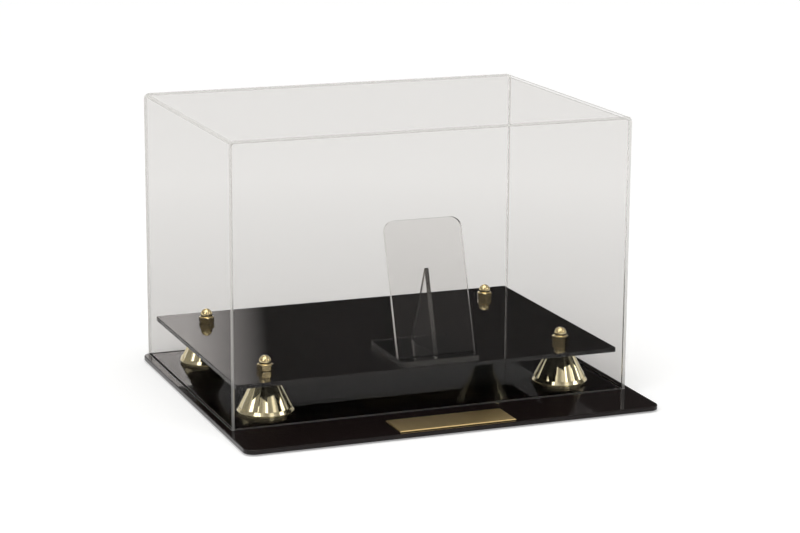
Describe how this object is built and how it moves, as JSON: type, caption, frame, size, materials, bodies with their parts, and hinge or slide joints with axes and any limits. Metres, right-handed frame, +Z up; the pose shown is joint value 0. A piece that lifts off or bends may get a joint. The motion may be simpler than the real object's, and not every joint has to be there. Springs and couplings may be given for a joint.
{
  "type": "tabletop display case",
  "caption": "Clear acrylic display case: a lift-off bent cover over a two-tier black base on fluted gold risers, with a loose clear easel and a bare name plate.",
  "frame": {"origin": "on the table, under the middle of the base board", "axes": "+X to the right seen from the front, +Y to the back, +Z up"},
  "size_m": [0.472, 0.401, 0.3138],
  "materials": {
    "black_acrylic": "cast black sheet, mirror gloss, polished edges",
    "black_rubber": "moulded matt rubber",
    "gold_plated_plastic": "vacuum-metallised pale gold, mirror bright",
    "zinc_steel": "zinc-plated",
    "polished_brass": "polished and lacquered",
    "mounting_tape": "double-sided foam tape",
    "clear_acrylic": "clear cast sheet, flame-polished edges"
  },
  "bodies": {
    "base": {"base_board": "black_acrylic", "deck": "black_acrylic", "rubber_foot_front_left": "black_rubber", "riser_front_left": "gold_plated_plastic", "riser_screw_front_left": "zinc_steel", "acorn_nut_front_left": "polished_brass", "rubber_foot_front_right": "black_rubber", "riser_front_right": "gold_plated_plastic", "riser_screw_front_right": "zinc_steel", "acorn_nut_front_right": "polished_brass", "rubber_foot_back_left": "black_rubber", "riser_back_left": "gold_plated_plastic", "riser_screw_back_left": "zinc_steel", "acorn_nut_back_left": "polished_brass", "rubber_foot_back_right": "black_rubber", "riser_back_right": "gold_plated_plastic", "riser_screw_back_right": "zinc_steel", "acorn_nut_back_right": "polished_brass", "name_plate": "polished_brass", "name_plate_tape": "mounting_tape"},
    "cover": {"cover_wrap": "clear_acrylic", "cover_front_panel": "clear_acrylic", "cover_back_panel": "clear_acrylic"},
    "easel": {"easel_foot": "clear_acrylic", "easel_back_rest": "clear_acrylic", "easel_gusset": "clear_acrylic"}
  },
  "joints": [
    {"name": "cover_lift", "type": "slide", "parent": "base", "child": "cover", "axis": [0, 0, 1], "range_m": [0, 0.32]},
    {"name": "easel_lift", "type": "slide", "parent": "base", "child": "easel", "axis": [0, 0, 1], "range_m": [0, 0.09]}
  ]
}
